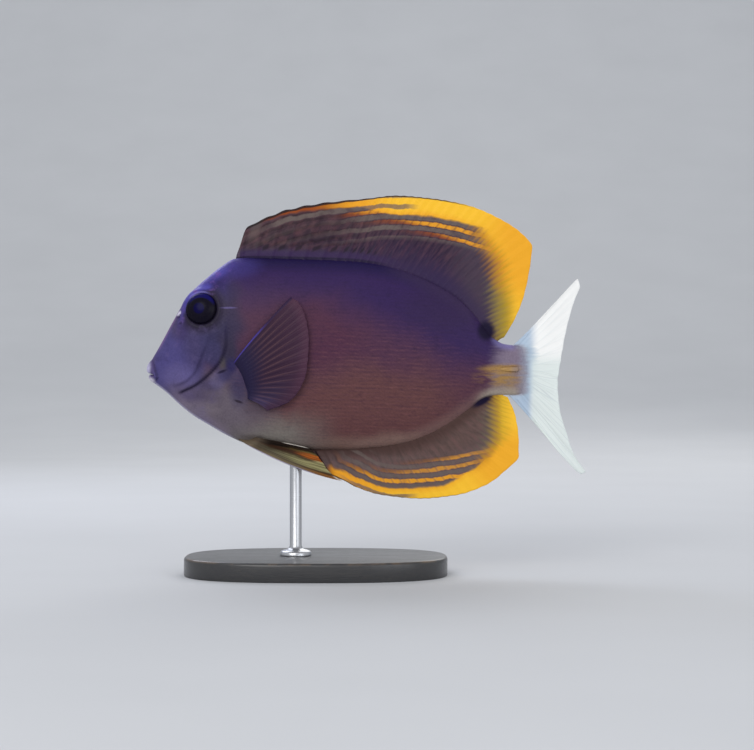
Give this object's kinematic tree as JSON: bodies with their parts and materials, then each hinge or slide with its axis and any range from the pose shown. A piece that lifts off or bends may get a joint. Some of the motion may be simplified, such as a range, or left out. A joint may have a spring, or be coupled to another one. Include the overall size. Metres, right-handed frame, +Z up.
{
  "type": "tomini tang model on a display stand",
  "caption": "Life-size small surgeonfish, deep and flat-sided, with tall striped fins, a crescent tail and a pursed mouth, held level by a rod on a flat oval base.",
  "frame": {"origin": "on the floor under the stand's base, midway between the tip of the snout and the tips of the tail", "axes": "+X towards the tail, so the head points along -X; -Y is the fish's left side, the one the picture shows; +Z up"},
  "size_m": [0.1404, 0.054, 0.1212],
  "materials": {
    "face_skin": "smooth slate-violet skin, slightly glossy",
    "body_skin": "indigo to maroon skin with fine wavy pale lines, slightly glossy",
    "eye": "glossy dark eye",
    "striped_fin": "dark brown membrane with orange, grey-blue and yellow stripes along its margin",
    "plum_fin": "thin plum membrane with a violet leading edge",
    "white_fin": "satin white membrane, faintly blue at its root",
    "scalpel": "satin horn, orange-tan",
    "stand_board": "satin black lacquer",
    "stand_rod": "satin steel"
  },
  "bodies": {
    "root": {"head": "face_skin", "lower_jaw": "face_skin", "gill_cover_left": "face_skin", "gill_cover_right": "face_skin", "trunk": "body_skin", "tail_stalk": "body_skin", "eye_left": "eye", "eye_right": "eye", "dorsal_fin_spiny": "striped_fin", "dorsal_fin_soft": "striped_fin", "anal_fin": "striped_fin", "pelvic_fin_left": "striped_fin", "pelvic_fin_right": "striped_fin", "pectoral_fin_left": "plum_fin", "pectoral_fin_right": "plum_fin", "tail_fin_upper": "white_fin", "tail_fin_lower": "white_fin", "scalpel_left": "scalpel", "scalpel_right": "scalpel", "stand_base": "stand_board", "stand_rod": "stand_rod"}
  },
  "joints": []
}
